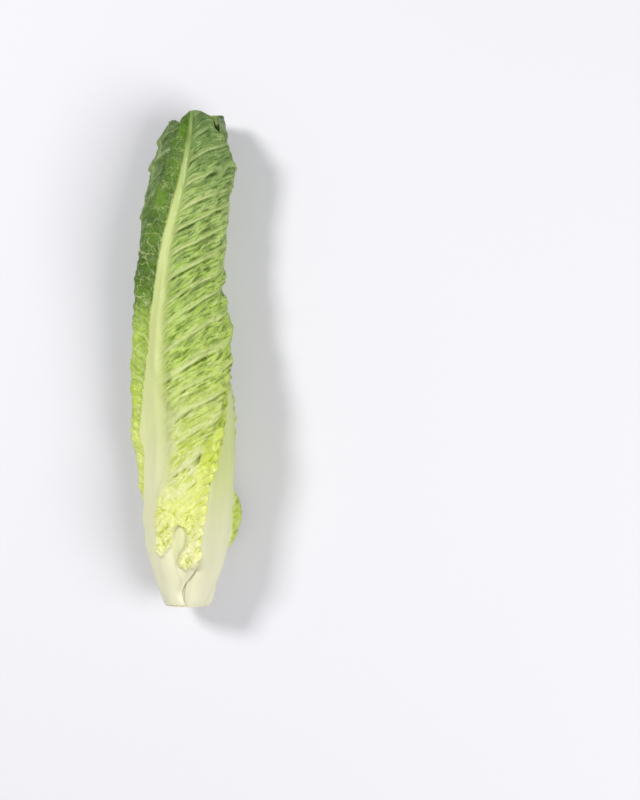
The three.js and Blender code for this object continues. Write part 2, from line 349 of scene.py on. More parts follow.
top_leaf.waves = curve([(0.1, 0.6), (0.16, 0.2), (0.42, 0.25), (0.54, 1)])
top_leaf.frill = 1.25
top_leaf.flank = curve([(0.2, 0.5), (0.4, 0.6), (0.7, 0.6), (1, 0.3)])
top_leaf.spread = curve([(0.12, 5), (0.22, 14), (0.36, 14), (0.46, 11), (0.6, 8), (0.8, 4.5), (1, 2)])
top_leaf.shade = curve([(0.56, 0), (0.64, 1)])

# the next one, whose broad stalk runs up the right side and has a small tender lobe low on its margin
stalk_leaf.azimuth -= math.radians(19)
stalk_leaf.tip = 245.5
stalk_leaf.tuck = curve([(0, TUCK), (0.8, TUCK), (0.92, 1)])
stalk_leaf.left = curve([(0.15, 0), (0.32, 0.02), (0.5, 0.95)])
stalk_leaf.right = curve([(0.08, 0.2), (0.12, 0.4), (0.22, 0.4), (0.4, 0.9), (0.6, 1.12), (1, 1.12)])
stalk_leaf.flare[1] = curve(
    [(0.1, 0), (0.135, 7.5), (0.175, 9), (0.21, 6.5), (0.25, 0), (0.5, 0), (0.6, 2.4), (0.75, 2.4), (0.86, 0)]
)
stalk_leaf.broad = 1.7
stalk_leaf.full = 2.2
stalk_leaf.flank = curve([(0.2, 1), (0.4, 0.8)])
stalk_leaf.tender = curve([(0.24, 0.6), (0.32, 0)])
# its rib turns greener part way up, partly its own greening and partly painted shade as if from a
# neighbouring head, and paler again near the tip
stalk_leaf.rib_green_and_shade = curve(
    [(0.1, 0), (0.2, 0.1), (0.3, 0.26), (0.4, 0.22), (0.55, 0), (0.75, -0.12)]
)

# the third, which is darker and has a slot of its own
dark_leaf.right = curve([(0.08, 0.3), (0.3, 0.4), (0.48, 1)])
dark_leaf.tuck = curve([(0.15, TUCK), (0.25, 0.9), (0.4, 0.9), (0.55, TUCK)])
dark_leaf.slot = "dark_leaf"

# The outermost leaf ends below in two crumpled lobes, with a slot between them that shows its stalk. The
# curves give places across the leaf in mm from the middle of the rib, over s, and the slot's half width.
# The foot is the other way round, s over the place across. The sharp edge is the rib's left one, in half
# widths of the rib, over v.
slot_middle = curve([(21, 16.6), (22.4, 16.7), (27, 18.3), (31, 20.6), (37, 21.3), (41, 21)])
slot_half = curve(
    [(18, 0.2), (22.4, 0.5), (27, 2.1), (31, 3.6), (36.5, 3.7), (39.5, 1.8), (41, -1), (46, -5)]
)
lobe_foot = curve([(2, 24), (8, 25), (12, 27), (15.4, 30.5), (17.2, 20), (20, 18.5), (32, 19.5)])
lobe_side = curve([(22, 5.5), (45, 6.5), (58, 8), (75, 9)])
fold_line = curve([(66, 30), (75, 34), (83, 36.6), (88, 40.2), (103, 46.6)])
sharp_edge = curve([(0.15, 0.75), (0.22, 0.58), (0.3, 0.6), (0.36, 0.66), (0.46, 0.72), (1, 0.75)])

# ---- the blade's surface (mm) ----
MAIN_SPACING = 12.5
MAIN_HEIGHT = 1.3
FINE_SPACING = 2.5
FINE_HEIGHT = 0.6
POCKET_DEPTH = 1.7
CREASE_DEPTH = 1.1
SWELL = 1.2
WRINKLE_DEPTH = 0.25

# The outermost leaf's fold and the strip beyond it, its lobes and the stalk in their slot, with where along
# s they start and end, and how far corners between distances are rounded.
FOLD_DEPTH = 1.9
FOLD_WIDTH = 1.5
FOLD_START = (64, 84)
FOLD_END = (100, 108)
STRIP_RISE = 0.8
STRIP_START = (50, 70)
STRIP_END = (100, 112)
LEDGE = 1.4
LOBES_END = (48, 66)
STALK_RISE = 0.4
SLOT_START = (18, 24)
SLOT_END = 40
ROUNDING = 1.5

# A side vein rises this steeply across the blade, after a faster rise over the first few mm by the rib.
VEIN_SLOPE = 0.56
FIRST_RISE = 6
FIRST_REACH = 7

# The crease that runs just below each main vein, in shares of their spacing from half way between two.
CREASE_PLACE = 0.47
CREASE_WIDTH = 0.045

# the margin's waves, from crest to crest
LONG_WAVE = 15
SHORT_WAVE = 5.6

# A leaf bends round at this much more than the mean radius of its bed, loses this share of its relief
# where other leaves lie over it, and has this length for one unit of its UV map.
BED_RISE = 2
HIDDEN_LOSS = 0.85
UV_UNIT = 100


def ridges(x, y, seed):
    """Noise with sharp crests, from 0 to 1."""
    return 1 - np.abs(noise(x, y, seed))


def flat_place(leaf, u, v):
    """Where each (u, v) lies on a leaf spread flat, in mm: u from -1 at the left margin to 1, v from root
    to tip. `span` is how far the margin is from the middle of the rib and `out` how far the place is,
    `wing` is the width of the blade alone, and `half` keeps the noise of the two sides apart."""
    side = np.where(u < 0, -1.0, 1.0)
    half = 3 * side
    rib_half = leaf.rib_half * rib_width(v) * mix(leaf.broad, 1, ramp(v, 0.35, 0.6))
    wing = leaf.half_width * np.where(u < 0, leaf.left(v), leaf.right(v)) * outline(v)
    span = wing + rib_half * np.maximum(mix(1, 0.4, ramp(v, 0, 0.5)), 1 - ramp(wing, 0, 10))
    length = leaf.tip - leaf.root
    along = length * v
    ragged = 0.045 * noise(along / 9, half, 5 + leaf.k) + 0.012 * noise(along / 3.5, half, 6 + leaf.k)
    span = span * (1 + ramp(wing, 2, 8) * ragged)
    across = u * span
    corner = ramp(np.abs(u), 0.6, 1) * ramp(v, 0.75, 1)
    rounded = TIP_ROUNDING * u * u * v**4 + CORNER_ROUNDING * corner
    return SimpleNamespace(
        u=u, v=v, side=side, half=half, wing=wing, span=span, rib_half=rib_half, along=along, across=across,
        out=np.abs(across),
        flank=leaf.flank(v) * rib_half,
        spread=leaf.spread(v) * np.where(u < 0, 0.4, 1),
        s=leaf.root + along - length * rounded,
    )


def margin_waves(leaf, at):
    """The waves of the margin, in mm: how far they draw each place in, move it up the leaf and raise it."""
    u, v = at.u, at.v
    edge = np.maximum(np.abs(u), 0.72 + 0.28 * ramp(v, 0.93, 1) * ramp(np.abs(u), 0, 0.2))
    edge = edge * ramp(at.wing, 3, 22)
    travel = at.along + 0.8 * (at.span - at.out)
    start = ramp(v, 0.02, 0.12) * (1 - 0.7 * ramp(v, 0.86, 1))
    long_wave = FULL_TURN * travel / LONG_WAVE + 3 * noise(at.along / 24, at.half, 11 + leaf.k) + leaf.k
    short_wave = FULL_TURN * travel / SHORT_WAVE + 3 * noise(at.along / 11, at.half, 21 + leaf.k)

    # where the long waves fade, the short ones are up to 2.2 times as strong
    waves = np.where(u > 0, leaf.waves(v), 1)
    long_edge = ramp(edge, 0.7, 1) * start * waves
    short_edge = ramp(edge, 0.84, 1) * start * mix(1, 0.5, ramp(v, 0.5, 0.7)) * (2.2 - 1.2 * waves)
    drawn_in = 0.7 * long_edge * np.cos(long_wave) + 0.2 * short_edge * np.cos(short_wave)
    moved_up = 0.5 * long_edge * np.cos(long_wave + 1) + 0.25 * short_edge * np.cos(short_wave + 1)
    raised = long_edge * (1 + np.sin(long_wave)) + 0.35 * short_edge * (1 + np.sin(short_wave))
    return leaf.frill * drawn_in, leaf.frill * moved_up, leaf.frill * raised


def side_veins(leaf, at):
    """The veins that sweep up and out from the rib, and the pockets sunk between them. Returns the height
    of the surface, the shares of vein and of pocket, and w, which is the same all along one vein."""
    k, out, along = leaf.k, at.out, at.along
    w = along - VEIN_SLOPE * out - FIRST_RISE * (1 - np.exp(-out / FIRST_REACH))
    w = w + 2.0 * noise(out / 24, along / 26, 31 + k) + 0.5 * noise(out / 6, along / 7, 33 + k)
    veined = w + 3.0 * noise(w / 16, at.half, 32 + k)
    t = (veined / MAIN_SPACING) % 1
    number = np.floor(veined / MAIN_SPACING)
    strength = 0.75 + 0.25 * noise(out / 9, number, 34 + k)
    strength = strength * mix(1, 0.5, np.clip(out / at.span, 0, 1))
    main = ramp(t, 0, 0.08) * (1 - ramp(t, 0.15, 0.32)) * strength
    fine_t = (veined / FINE_SPACING + 0.3 * noise(out / 7, veined / 4, 35 + k)) % 1
    fine = ramp(fine_t, 0, 0.3) * (1 - ramp(fine_t, 0.4, 0.9))
    fine = fine * (0.55 + 0.45 * noise(out / 6, veined / FINE_SPACING, 36 + k))
    pits = 0.75 * noise(out / 5.5, veined / 2.3, 77 + k) + 0.35 * noise(out / 2.6, veined / 1.3, 78 + k)
    pocket = ramp(pits, -0.12, 0.55) * (1 - main) * (0.7 + 0.3 * noise(out / 15, w / 12, 41 + k))
    crease = np.exp(-(((t + 0.5) % 1 - CREASE_PLACE) / CREASE_WIDTH) ** 2)
    crease = crease * ramp(noise(out / 6, number, 43 + k), -0.2, 0.5)
    wrinkle = ridges(veined / 1.5, out / 5, 51 + k)
    swell = 0.5 + 0.5 * noise(out / 13 + 7, w / 9, 61 + k)
    height = (
        MAIN_HEIGHT * main
        + FINE_HEIGHT * fine
        - POCKET_DEPTH * pocket
        - CREASE_DEPTH * crease
        + WRINKLE_DEPTH * wrinkle
        + SWELL * swell
    )
    vein = np.clip(main + 0.45 * fine, 0, 1)
    # the low share darkens the colour in the pockets and creases: partly the blade's own deeper green, partly
    # painted shade
    low = np.clip(0.9 * pocket + 0.9 * crease, 0, 1)
    return height + POCKET_DEPTH, vein, low, w


def crumple(leaf, at):
    """A tender margin: soft swellings parted by thin bent creases. Returns its height and how deep in a
    crease each place lies, from 0 to 1."""
    k, out, along = leaf.k, at.out, at.along
    warp = 1.6 * noise(out / 4, along / 4, 91 + k)
    crease = ridges((out + warp) / 4.5, (along - 0.35 * out + 1.2 * warp) / 1.5, 92 + k) ** 3
    cross = ridges((out - warp) / 1.7, (along + warp) / 3.5 + at.side, 93 + k) ** 4
    swelling = 0.5 + 0.5 * noise(out / 4.5 + 3, along / 3.5, 94 + k)
    height = 1.5 - 1.05 * crease - 0.5 * cross + 0.9 * swelling
    return height, np.clip(1.1 * crease + 0.45 * cross - 0.25 * swelling, 0, 1)


def soft_least(a, b):
    """The lesser of two distances, with the corner between them rounded off."""
    return -ROUNDING * np.log(np.exp(-a / ROUNDING) + np.exp(-b / ROUNDING))


# A leaf's forms are shares from 0 to 1: `on_rib` thickens it, `on_blade` lets its veins and pockets show,
# `rib` is coloured as rib, `tender` is crumpled blade, `lobe` and `fold` are what their names say, and
# `hollow` is the floor of the slot, painted a darker olive, partly its own tone and partly painted shade.
# Only `ledge` is in mm, a step outwards.
def plain_forms(leaf, at):
    """The forms of every leaf but the outermost: its rib, its blade, and the small lobe at the right
    margin where it flares low down."""
    beside = ramp(at.out, at.flank, at.flank + at.spread)
    uneven = 0.05 * noise(at.across / 3, at.s / 3, 75) + 0.03 * noise(at.across / 1.3, at.s / 1.3, 76)
    low_down = 1 - ramp(at.v, 0.24, 0.3)
    lobe = ramp(at.u + uneven, 0.6, 0.67) * ramp(leaf.flare[1](at.v), 0.5, 3) * low_down
    return SimpleNamespace(
        on_rib=ease(np.clip(leaf.full - 1.2 * at.out / at.rib_half, 0, 1)),
        on_blade=np.maximum(beside * ramp(at.along, 14, 26), lobe),
        rib=1 - np.maximum(beside, lobe),
        tender=np.where(at.u > 0, np.maximum(leaf.tender(at.v), lobe), 0),
        lobe=lobe, ledge=0.0, fold=0.0, hollow=0.0,
    )


def outermost_forms(at):
    """The outermost leaf's forms: a rib with a sharp left edge, on the right below two crumpled lobes with
    a slot between them, and higher up a fold with a strip that stands out beyond it."""
    s, across, out = at.s, at.across, at.out
    right = at.u > 0
    edge = sharp_edge(at.v) * at.rib_half
    on_rib = ease(np.clip(1.25 - 0.8 * out / at.rib_half, 0, 1))
    on_rib = np.where(right, on_rib, 1 - ramp(out, edge, edge + 1.8))

    # how deep each place lies inside the lobes, whose edges are jagged
    jagged = noise(across / 3, s / 3, 71) + 0.6 * noise(across / 1.2, s / 1.2, 72)
    from_slot = np.abs(across - slot_middle(s)) - slot_half(s) + 0.4 * jagged
    depth = soft_least(from_slot, s - lobe_foot(across) + 0.7 + jagged)
    depth = soft_least(depth, across - lobe_side(s) + 0.7 + jagged)
    inside = ramp(depth, 0, 1.3)
    low_down = 1 - ramp(s, *LOBES_END)

    flank = np.where(right, mix(at.flank, lobe_side(s), low_down), at.flank)
    on_blade = mix(ramp(out, flank, flank + at.spread), inside, low_down)
    on_blade = np.where(right, on_blade, ramp(out, edge, edge + 1.5))
    on_blade = on_blade * np.where(at.u < 0, ramp(at.wing, 0.5, 3), 1)

    # the lobes stand out, and so does the stalk in the slot, a little
    off_middle = np.abs(across - slot_middle(s)) / np.maximum(slot_half(s), 0.5)
    stalk = np.clip(1 - off_middle**2, 0, 1)
    ledge = np.where(right, LEDGE * low_down * ramp(depth, 0, 2.4), 0)
    ledge = ledge + np.where(s < SLOT_END, STALK_RISE * stalk * (1 - inside), 0)

    beyond = across - fold_line(s)
    fold = np.exp(-((beyond / FOLD_WIDTH) ** 2)) * (ramp(s, *FOLD_START) * (1 - ramp(s, *FOLD_END)))
    strip = ramp(beyond, 0, FOLD_WIDTH) * ramp(s, *STRIP_START) * (1 - ramp(s, *STRIP_END))
    hollow = ramp(1 - from_slot, 0, 1.5) * ramp(s, *SLOT_START) * (1 - inside)
    return SimpleNamespace(
        on_rib=on_rib,
        on_blade=on_blade,
        rib=1 - on_blade,
        tender=np.maximum(np.where(right, low_down, 0.7), strip),
        lobe=0.0,
        ledge=ledge + STRIP_RISE * strip,
        fold=fold,
        hollow=np.where(right, hollow, 0),
    )


def surface(leaf, u, v, base, snug, solid, covered):
    """Where each (u, v) of a leaf comes to lie on the head, and the shares that colour it. The leaf lies on
    `base`, its margins reach down towards `snug`, and no place is inside `solid`. All three are fields of
    rho. `covered` is the field of how far the leaves outside this one lie over it."""
    at = flat_place(leaf, u, v)
    drawn_in, moved_up, raised = margin_waves(leaf, at)
    ring = np.interp(at.s, ROW_S, base.mean(axis=1)) + BED_RISE
    wrap = WRAP_LIMIT * np.tanh((at.across - at.side * drawn_in) / ring / WRAP_LIMIT)
    theta = leaf.azimuth + leaf.twist * ramp(v, 0.3, 0.9) + wrap
    at.s = at.s + moved_up

    # the rib, the blade's veins and pockets, and the puckers of tender places
    height, vein, low, w = side_veins(leaf, at)
    puckers, dips = crumple(leaf, at)
    forms = plain_forms(leaf, at) if leaf.k else outermost_forms(at)
    height = mix(height, puckers, forms.tender) - FOLD_DEPTH * forms.fold
    # the low share also takes the tender dips and the fold, darkened with painted shade as well as their own
    # deeper green
    low = np.maximum(mix(low, 0.9 * dips, forms.tender), 0.75 * forms.fold)
    vein = vein * (1 - 0.8 * forms.tender)

    # the thickness, which runs out along the lowest part of the margin
    low_edge = ramp(np.abs(u), 0.7, 1) * (1 - ramp(v, 0.04, 0.12))
    thick = BLADE * mix(1, 0.6, ramp(np.abs(u), 0.8, 1)) + leaf.rib_thick * rib_height(v) * forms.on_rib
    thick = thick * mix(1, 0.2, low_edge)

    # the relief, calmer low down, along the upper margin and under other leaves
    calm = mix(0.85, 1, np.maximum(ramp(v, 0.33, 0.45), forms.tender))
    rim = 1 - 0.65 * ramp(np.abs(u), 0.72, 1) * ramp(v, 0.55, 0.75)
    relief = leaf.relief * (forms.on_blade * height * calm * rim + forms.ledge)
    relief = relief + raised * rim * (1 - 0.4 * forms.tender * (1 - forms.lobe))
    bare = 1 - HIDDEN_LOSS * sample(covered, at.s, theta)

    # the distance from the axis
    tuck = ramp(np.abs(u), 0.6, 1) * np.where(u > 0, leaf.tuck(v), TUCK)
    gap = LEAF_GAP * ramp(at.s, *GAP_START) + LOOSE_GAP * ramp(at.s, *LOOSE_START)
    least = sample(solid, at.s, theta) + LEAST_GAP * mix(1, 0.4, low_edge)
    flare = np.where(u > 0, leaf.flare[1](v), leaf.flare[-1](v)) * ramp(np.abs(u), 0.5, 1) ** 1.3
    bed = mix(sample(base, at.s, theta) + gap, sample(snug, at.s, theta), tuck)
    rho = bed + bare * relief + flare
    rho = np.maximum(mix(rho, least, low_edge), least)
    return {
        "s": at.s,
        "theta": theta,
        "rho": rho,
        "thick": thick,
        "rib": forms.rib,
        "vein": vein * forms.on_blade,
        "low": low * forms.on_blade,
        "tender": forms.tender,
        "shade": np.where(u < 0, leaf.shade(v), 0),
        # the small lobe is moved 0.22 towards a darker green, partly its own and partly painted shade, and
        # the rib takes its leaf's greening with painted shade
        "growth": at.s / HEAD_LENGTH + 0.22 * forms.lobe + forms.rib * leaf.rib_green_and_shade(v),
        "hollow": forms.hollow,
        "uv": np.stack([at.across, w], axis=-1) / UV_UNIT,
    }


def rib_place(leaf):
    """Where across the grid the rib runs, from 0 to 1, so that the cells are alike on both sides."""
    left = leaf.half_width * leaf.left(0.5) + leaf.rib_half
    right = leaf.half_width * leaf.right(0.5) + leaf.rib_half
    return left / (left + right)


def to_u(leaf, q):
    """The margin-to-margin place u of a grid column q, both from -1 to 1."""
    middle = rib_place(leaf)
    share = (q + 1) / 2
    return np.where(share < middle, (share - middle) / middle, (share - middle) / (1 - middle))


def to_v(share):
    """The root-to-tip place v of a grid row: the rows lie closer in the crumpled lower part."""
    return np.interp(share, [0, 0.32, 1], [0, 0.22, 1])


def lay_leaves(covered):
    """Lays every leaf over those inside it. Returns each leaf's bed and footprint, and the head's skin."""
    rho = np.maximum(np.where(ROW_S < STEM_TOP, stem_radius(ROW_S), 0), hollow_radius(ROW_S))
    field = np.repeat(rho[:, None], COLUMNS, axis=1)
    beds, footprints = {}, {}
    for leaf in reversed(leaves):
        beds[leaf.k] = (cover(field), blurred(widest(field, 2), 1), widest(field, 1), covered[leaf.k])
        along = to_v(np.linspace(0, 1, 2 * leaf.rows + 1))
        q, v = np.meshgrid(np.linspace(-1, 1, 3 * leaf.columns + 1), along)
        place = surface(leaf, to_u(leaf, q), v, *beds[leaf.k])
        i, j = cells_at(place["s"], place["theta"])
        np.maximum.at(field, (i, j), place["rho"] + place["thick"])
        footprints[leaf.k] = np.zeros_like(field)
        footprints[leaf.k][i, j] = 1
    return SimpleNamespace(beds=beds, footprints=footprints, skin=field)


def coverage(footprints):
    """For each leaf, how far every place is covered by the leaves outside it, from 0 to 1."""
    above = np.zeros((ROWS, COLUMNS))
    found = {}
    for leaf in leaves:
        found[leaf.k] = blurred(above, 3)
        above = np.maximum(above, widest(footprints[leaf.k], 1))
    return found


# The leaves are laid twice: first to find where each is covered, then with its relief calmed there.
first = lay_leaves({leaf.k: np.zeros((ROWS, COLUMNS)) for leaf in leaves})
head = lay_leaves(coverage(first.footprints))
whole = cover(cover(head.skin))

# The cut plane and the axis, from the stem of the frame.
stem_low, stem_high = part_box("stem")
AXIS_X = (stem_low.x + stem_high.x) / 2 / MM
CUT_Y = stem_low.y / MM


def to_part(s, theta, rho):
    """Head places as x, y, z in metres."""
    r = rho * settle(whole, s, theta) * flatness(theta)
    x = AXIS_X + r * np.sin(theta) + axis_sway(s)
    z = AXIS_HEIGHT + r * np.cos(theta)
    return np.stack([x, CUT_Y + s, z], axis=-1) * MM


def pressed(z):
    """How far a place at height z above the table is pressed down by the head's weight (metres)."""
    return np.minimum(z, PRESS_DEPTH * MM) * (1 - ramp(z, PRESS_DEPTH * MM, PRESS_REACH * MM))


# ---- meshes ----
def slab(name, columns, rows):
    """A closed flat slab over (q, v) from -1 to 1 both ways: its face at z 0, its back at z -1."""
    bm = bmesh.new()
    bmesh.ops.create_grid(bm, x_segments=columns, y_segments=rows, size=1)
    bmesh.ops.solidify(bm, geom=bm.faces[:], thickness=1)
    mesh = bpy.data.meshes.new(name)
    bm.to_mesh(mesh)
    bm.free()
    return mesh


def vertex_places(mesh):
    flat = np.empty(3 * len(mesh.vertices))
    mesh.vertices.foreach_get("co", flat)
    return flat.reshape(-1, 3)


def set_places(mesh, places):
    mesh.vertices.foreach_set("co", places.ravel())
    mesh.polygons.foreach_set("use_smooth", np.ones(len(mesh.polygons), bool))
    mesh.update()


def set_colour(mesh, name, *channels):
    """A colour attribute with up to four channels."""
    rgba = np.ones((len(mesh.vertices), 4))
    for n, channel in enumerate(channels):
        rgba[:, n] = channel
    mesh.attributes.new(name, "FLOAT_COLOR", "POINT").data.foreach_set("color", rgba.ravel())


def set_uv(mesh, uv):
    corners = np.empty(len(mesh.loops), int)
    mesh.loops.foreach_get("vertex_index", corners)
    mesh.uv_layers.new(name="leaf").data.foreach_set("uv", uv[corners].ravel())


def add_piece(name, mesh, material, node):
    mesh.materials.append(material)
    piece = bpy.data.objects.new(name, mesh)
    bpy.context.scene.collection.objects.link(piece)
    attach(piece, "root")
    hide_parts(node)


def leaf_piece(leaf, material):
    """A leaf as a closed slab, with its face and its back laid where they belong."""
    mesh = slab(leaf.name + "_blade", leaf.columns, leaf.rows)
    flat = vertex_places(mesh)
    v = to_v((flat[:, 1] + 1) / 2)
    place = surface(leaf, to_u(leaf, flat[:, 0]), v, *head.beds[leaf.k])
    outer = to_part(place["s"], place["theta"], place["rho"] + place["thick"])
    inner = to_part(place["s"], place["theta"], place["rho"])
    places = np.where(flat[:, 2:] > -0.5, outer, inner)
    places[:, 2] -= pressed(outer[:, 2])
    set_places(mesh, places)
    set_colour(mesh, "marks", place["rib"], place["vein"], place["low"])
    set_colour(mesh, "growth", place["growth"], place["tender"], place["shade"], place["hollow"])
    set_uv(mesh, place["uv"])
    add_piece(leaf.name + "_blade", mesh, material, leaf.name)


# ---- the cut stem (mm) ----
STEM_AROUND = 200
STEM_RINGS = 130

# The stem's rings run from the middle of the cut to its rim, round the rim, in to the core and up it. These
# are the shares of the rings where each stretch ends, and where the look of the cut does.
CUT_END = 0.62
RIM_END = 0.66
CORE_START = 0.68
SAWN_END = 0.64

# The rim follows the leaves' skin at this height above the cut and lies this much inside it. It turns in
# over the drop. The cut face is sunk by the inset. The core stands clear of the stem's own radius, and is
# no wider than its own.
RIM_FROM = 1.4
RIM_INSIDE = 0.3
RIM_DROP = 0.4
CUT_INSET = 0.3
CORE_RADIUS = 10
CORE_CLEAR = 0.3

# The cut ends of the outer leaves' stalks: how many show, how far out their middles are, how wide they are,
# by how much less for each leaf further in, and how wide the line round each is.
STALKS_CUT = 6
STALK_OUT = 9
STALK_RADIUS = 8
STALK_STEP = 0.35
STALK_LINE = 0.3


def stalk_ends(x, z):
    """Where the thin lines between the cut ends of the leaf stalks run across the cut, from 0 to 1."""
    lines = np.zeros_like(x)
    for leaf in reversed(leaves[:STALKS_CUT]):
        away = np.hypot(x - STALK_OUT * math.sin(leaf.azimuth), z - STALK_OUT * math.cos(leaf.azimuth))
        away = away + 0.5 * noise(x / 3, z / 3, 7 + leaf.k)
        within = STALK_RADIUS - STALK_STEP * leaf.k - away
        line = np.exp(-((within / STALK_LINE) ** 2))
        lines = np.maximum(lines * (1 - ramp(within, 0, STALK_LINE)), line)
    return lines * ramp(np.hypot(x, z), 3.6, 5.4)


def stem_piece(material):
    """The short cut stem: one skin from the middle of the cut, over its rim and up to the top."""
    bm = bmesh.new()
    bmesh.ops.create_grid(bm, x_segments=STEM_AROUND, y_segments=STEM_RINGS, size=1)
    mesh = bpy.data.meshes.new("stem_core")
    bm.to_mesh(mesh)
    flat = vertex_places(mesh)
    theta = -math.pi * flat[:, 0]
    t = (flat[:, 1] + 1) / 2
    rim = sample(blurred(head.skin, 1), RIM_FROM, theta) - RIM_INSIDE
    rho = np.interp(t, [0, CUT_END], [0, 1]) * rim
    s = np.interp(t, [0, CUT_END, RIM_END, CORE_START, 1], [0, 0, RIM_DROP, RIM_DROP + 0.05, STEM_TOP])
    core = np.minimum(CORE_RADIUS, stem_radius(s) + CORE_CLEAR) * (1 - ramp(s, 36, STEM_TOP))
    rho = np.where(t < RIM_END, rho, mix(rim, core, ramp(t, RIM_END, CORE_START)))

    # the cut is sunk a little, in the middle and along the lines, and is uneven from the saw
    x, z = rho * np.sin(theta), rho * np.cos(theta)
    lines = stalk_ends(x, z)
    uneven = 0.12 * noise(x / 0.9, z / 7, 3) + 0.2 * noise(x / 5, z / 5, 4)
    sunk = 0.5 * (1 - ramp(rho, 0, 5)) + 0.25 * lines
    level = (CUT_INSET + uneven + sunk) * (1 - ramp(rho / rim, 0.93, 1))
    s = np.where(t < CUT_END, s + level, s)
    for vertex, place in zip(bm.verts, to_part(s, theta, rho)):
        vertex.co = place
    layer = bm.verts.layers.float_color.new("cut")
    for vertex, share, sawn, line in zip(bm.verts, rho / rim, t < SAWN_END, lines):
        vertex[layer] = (share, float(sawn), line, 1)
    bmesh.ops.remove_doubles(bm, verts=bm.verts[:], dist=0.01 * MM)
    bmesh.ops.recalc_face_normals(bm, faces=bm.faces[:])
    for face in bm.faces:
        face.smooth = True
    bm.to_mesh(mesh)
    bm.free()
    add_piece("stem_core", mesh, material, "stem")


# ---- materials ----
def linear(colour):
    """Scene values of a colour given as 0 to 255."""
    c = np.array(colour) / 255
    return tuple(np.where(c <= 0.04045, c / 12.92, ((c + 0.055) / 1.055) ** 2.4)) + (1.0,)


class Nodes:
    """A material's node tree, with short ways to add nodes and join them."""

    def __init__(self, name):
        self.material = bpy.data.materials.new(name)
        self.material.use_nodes = True
        self.tree = self.material.node_tree
        self.tree.nodes.clear()

    def feed(self, socket, value):
        """Joins another node's output to a socket, or sets the socket's value."""
        if isinstance(value, bpy.types.NodeSocket):
            self.tree.links.new(value, socket)
        else:
            socket.default_value = value

    def add(self, kind, settings=None, **inputs):
        node = self.tree.nodes.new(kind)
        for key, value in (settings or {}).items():
            setattr(node, key, value)
        for key, value in inputs.items():
            self.feed(node.inputs[key.replace("_", " ")], value)
        return node

    def band(self, factor, stops):
        """A colour ramp through (place, linear colour) stops."""
        node = self.add("ShaderNodeValToRGB", Fac=factor)
        elements = node.color_ramp.elements
        while len(elements) < len(stops):
            elements.new(0.5)
        for element, (place, colour) in zip(elements, stops):
            element.position = place
            element.color = colour
        return node.outputs["Color"]

    def colours(self, factor, stops):
        return self.band(factor, [(place, linear(colour)) for place, colour in stops])

    def levels(self, factor, stops):
        return self.band(factor, [(place, (level, level, level, 1)) for place, level in stops])

    def maths(self, operation, a, b, clamp=False):
        node = self.add("ShaderNodeMath", {"operation": operation, "use_clamp": clamp})
        self.feed(node.inputs[0], a)
        self.feed(node.inputs[1], b)
        return node.outputs[0]

    def total(self, *parts):
        joined = parts[0]
        for part in parts[1:]:
            joined = self.maths("ADD", joined, part)
        return joined

    def product(self, *parts):
        joined = parts[0]
        for part in parts[1:]:
            joined = self.maths("MULTIPLY", joined, part)
        return joined

    def rest(self, share):
        """What a share leaves of 1."""
        return self.maths("SUBTRACT", 1.0, share, clamp=True)

    def blend(self, factor, a, b, kind="MIX"):
        node = self.add("ShaderNodeMix", {"data_type": "RGBA", "blend_type": kind})
        for socket, value in zip((node.inputs[0], node.inputs[6], node.inputs[7]), (factor, a, b)):
            self.feed(socket, value)
        return node.outputs[2]

    def tinted(self, colour, tint):
        return self.blend(1.0, colour, linear(tint), "MULTIPLY")

    def attribute(self, name):
        """The three channels of a colour attribute, and its fourth."""
        colour = self.add("ShaderNodeAttribute", {"attribute_name": name})
        channels = self.add("ShaderNodeSeparateColor", Color=colour.outputs["Color"])
        return (*channels.outputs, colour.outputs["Alpha"])

    def noise(self, vector, scale, detail, roughness=0.6):
        node = self.add("ShaderNodeTexNoise", Vector=vector, Scale=scale, Detail=detail, Roughness=roughness)
        return node.outputs["Fac"]

    def streaks(self, uv, across, along, detail=3.0):
        """Noise drawn out one way, with its scale across the leaf and along its veins."""
        scaled = self.add("ShaderNodeMapping", Vector=uv, Scale=(across, along, 1.0)).outputs[0]
        return self.noise(scaled, 1.0, detail)

    def net(self, vector, scale, sharpness):
        """The walls of a net of cells."""
        walls = self.add("ShaderNodeTexVoronoi", {"feature": "DISTANCE_TO_EDGE"}, Vector=vector, Scale=scale)
        return self.rest(self.product(walls.outputs["Distance"], sharpness))

    def finish(self, shader):
        self.add("ShaderNodeOutputMaterial", Surface=shader.outputs[0])
        return self.material


# Colours from 0 to 255 over a leaf's growth: 0 at the cut, 1 at the tips.
PALETTES = {
    "outer_leaf": {
        "blade": [
            (0, (242, 240, 190)), (0.12, (238, 239, 154)), (0.28, (226, 235, 122)),
            (0.4, (194, 217, 74)), (0.6, (168, 205, 58)), (0.78, (174, 208, 100)),
            (0.9, (120, 158, 74)), (1, (78, 112, 46)),
        ],
        "rib": [
            (0, (244, 241, 212)), (0.2, (238, 237, 196)), (0.45, (222, 229, 158)),
            (0.8, (202, 216, 136)), (1, (140, 168, 96)),
        ],
    },
    "dark_leaf": {
        "blade": [
            (0, (234, 234, 180)), (0.3, (216, 226, 148)), (0.5, (186, 206, 116)), (0.6, (124, 158, 62)),
            (0.66, (92, 130, 40)), (1, (72, 106, 38)),
        ],
        "rib": [(0, (240, 237, 205)), (0.45, (222, 229, 170)), (0.65, (158, 184, 108)), (1, (140, 166, 96))],
    },
    "middle_leaf": {
        "blade": [
            (0, (238, 237, 188)), (0.3, (230, 235, 152)), (0.6, (208, 222, 118)),
            (0.85, (160, 190, 80)), (1, (100, 138, 54)),
        ],
        "rib": [(0, (242, 239, 208)), (0.5, (228, 232, 180)), (1, (196, 211, 146))],
    },
    "heart_leaf": {
        "blade": [(0, (240, 238, 194)), (0.5, (234, 235, 154)), (1, (216, 226, 122))],
        "rib": [(0, (243, 240, 210)), (1, (234, 236, 188))],
    },
}
